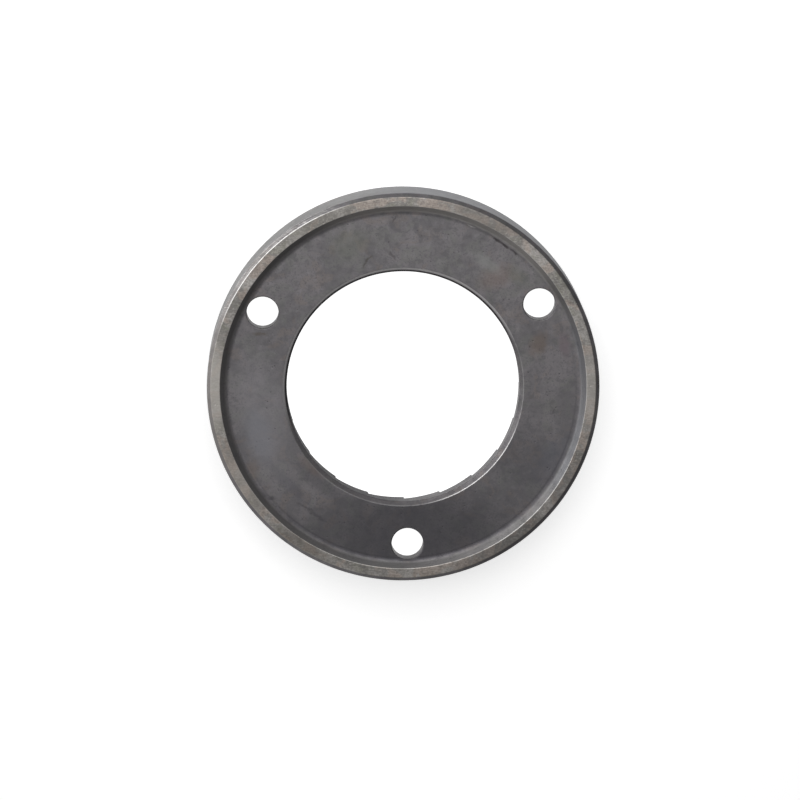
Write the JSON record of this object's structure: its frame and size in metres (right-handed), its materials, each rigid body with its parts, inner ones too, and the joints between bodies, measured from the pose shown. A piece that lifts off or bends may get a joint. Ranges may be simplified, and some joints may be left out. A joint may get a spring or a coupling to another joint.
{
  "type": "flat coffee grinder burr",
  "caption": "Flat steel burr ring with a recessed back, raised rim, central bore, countersunk screw holes, fine swept teeth and coarse breaker teeth.",
  "frame": {"origin": "on the bore axis, in the plane of the tooth crests that the burr lies on", "axes": "+Z along the bore axis, out of the back with the raised rim; the screw holes are at 30, 150 and 270 degrees from +X, anticlockwise as seen from the back"},
  "size_m": [0.064, 0.064, 0.0095],
  "materials": {
    "burr_steel": "hardened, dull turned grey"
  },
  "bodies": {
    "root": {"burr": "burr_steel"}
  },
  "joints": []
}
